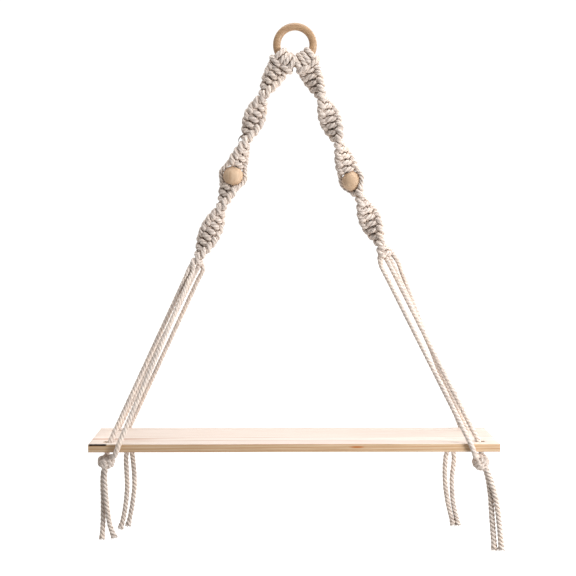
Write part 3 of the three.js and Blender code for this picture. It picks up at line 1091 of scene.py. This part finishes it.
# Shelf board
# One planed pine board, 500 by 140 by 10 mm, left bare, with softened edges. A hole is drilled near
# each corner for a strand. A small knot shows on the front edge, right of the middle.
bpy.ops.object.select_all(action="DESELECT")
bpy.ops.mesh.primitive_cube_add(
    size=1,
    location=(board["centre_x"] * mm, 0, (board["top_z"] - board["thickness"] / 2) * mm),
    scale=(board["length"] * mm, board["depth"] * mm, board["thickness"] * mm),
)
shelf = bpy.context.object
shelf.name = "pine_board"
settle(shelf)
for x_way in (-1, 1):
    for y_way in (-1, 1):
        bpy.ops.object.select_all(action="DESELECT")
        bpy.ops.mesh.primitive_cylinder_add(
            vertices=64,
            radius=hole["radius"] * mm,
            depth=3 * board["thickness"] * mm,
            location=(
                (board["centre_x"] + x_way * hole["from_middle"]) * mm,
                y_way * hole["from_centreline"] * mm,
                board["top_z"] * mm,
            ),
        )
        drill = bpy.context.object
        settle(drill)
        bpy.ops.object.select_all(action="DESELECT")
        bpy.context.view_layer.objects.active = shelf
        drilled = shelf.modifiers.new("drilled", "BOOLEAN")
        drilled.operation = "DIFFERENCE"
        drilled.solver = "EXACT"
        drilled.object = drill
        bpy.ops.object.modifier_apply(modifier=drilled.name)
        bpy.data.objects.remove(drill)
round_edges(shelf, "softened_edges", sharper_than=40)
shelf.select_set(True)
bpy.ops.object.shade_smooth_by_angle(angle=math.radians(30))

# Pine: growth rings about 3 mm apart round a heart that lies below the board and dips a little
# along it, so they show as long lines and arcs. The late wood is a darker tan.
pine, tree, shader = new_material("bare_planed_pine")
place = add(tree, "ShaderNodeTexCoord").outputs["Object"]
heart = add(
    tree,
    "ShaderNodeMapping",
    links={"Vector": place},
    inputs={
        "Location": (0.0, 0.03, 0.575),
        "Rotation": (0.0, math.radians(2.2), math.radians(1.5)),
        "Scale": (0.12, 1, 1),
    },
)
rings = add(
    tree,
    "ShaderNodeTexWave",
    wave_type="RINGS",
    rings_direction="X",
    links={"Vector": heart.outputs["Vector"]},
    inputs={
        "Scale": 105.0,
        "Distortion": 3.0,
        "Detail": 3.0,
        "Detail Scale": 0.35,
        "Detail Roughness": 0.55,
    },
)
ring_colour = ramp(
    tree,
    rings.outputs["Fac"],
    (0.0, "#ece5e1"),
    (0.6, "#eae1db"),
    (0.9, "#e1cdc2"),
    (1.0, "#d5baad"),
)
fibre_place = stretched(tree, place, (14, 1100, 1100))
fibres = noise(tree, fibre_place, 1.0, Detail=4.0, Roughness=0.6)
fibre_tint = ramp(tree, fibres, (0.3, "#e2d5c6"), (0.55, "#fbf7f2"), (0.75, "#ffffff"))
colour = multiplied(tree, ring_colour, fibre_tint)
# The sawn edges are a deeper tan than the planed top and underside, partly the wood's own tone and
# partly painted shade on sides that face away from the lamp above.
height = add(tree, "ShaderNodeSeparateXYZ", links={"Vector": place}).outputs["Z"]
middle_z = (board["top_z"] - board["thickness"] / 2) * mm
from_middle = calculated(tree, "ABSOLUTE", calculated(tree, "SUBTRACT", height, middle_z))
face_share = calculated(tree, "MULTIPLY", from_middle, 2 / (board["thickness"] * mm))
edge_tan_and_shade = ramp(tree, face_share, (0.9, "#e3cfb1"), (0.97, "#ffffff"))
colour = multiplied(tree, colour, edge_tan_and_shade)


def within(tree, place, centre, half_sizes):
    """A place counted from a centre in shares of half sizes, so that 1 is the spot's edge."""
    return add(
        tree,
        "ShaderNodeMapping",
        vector_type="TEXTURE",
        links={"Vector": place},
        inputs={"Location": centre, "Scale": half_sizes},
    ).outputs["Vector"]


# The knot is a branch about 28 mm long and 5 mm high in the front edge, 75 mm right of the middle.
knot_place = within(tree, place, (0.0746, -0.070, -0.5102), (0.017, 0.024, 0.0031))
from_knot = add(
    tree,
    "ShaderNodeVectorMath",
    operation="LENGTH",
    links={0: knot_place},
).outputs["Value"]
ragged = noise(tree, fibre_place, 0.4, Detail=3.0)
knot_edge = calculated(tree, "ADD", from_knot, ragged)
knot_mask = ramp(tree, knot_edge, (0.75, "#ffffff"), (1.0, "#909090"), (1.35, "#000000"))
colour = painted(tree, colour, knot_mask, "#b06a35")
# A near black line, 23 mm long, is painted along the left end of the top front edge.
dark_line_place = within(tree, place, (-0.2401, -0.0700, -0.5070), (0.0115, 0.0016, 0.0015))
dark_line_reach = add(
    tree,
    "ShaderNodeVectorMath",
    operation="ABSOLUTE",
    links={0: dark_line_place},
).outputs["Vector"]
dark_line_axes = add(tree, "ShaderNodeSeparateXYZ", links={"Vector": dark_line_reach}).outputs
dark_line_section = calculated(tree, "MAXIMUM", dark_line_axes["Y"], dark_line_axes["Z"])
dark_line_edge = calculated(tree, "MAXIMUM", dark_line_section, dark_line_axes["X"])
dark_line_mask = ramp(tree, dark_line_edge, (0.85, "#ffffff"), (1.0, "#000000"))
colour = painted(tree, colour, dark_line_mask, "#1d1713")
tree.links.new(colour, shader.inputs["Base Color"])
tree.links.new(bumped(tree, fibres, 0.2, 0.0003), shader.inputs["Normal"])
shader.inputs["Roughness"].default_value = 0.6
shader.inputs["Specular IOR Level"].default_value = 0.2
shelf.data.materials.clear()
shelf.data.materials.append(pine)
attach(shelf, "root")
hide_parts("shelf_board")
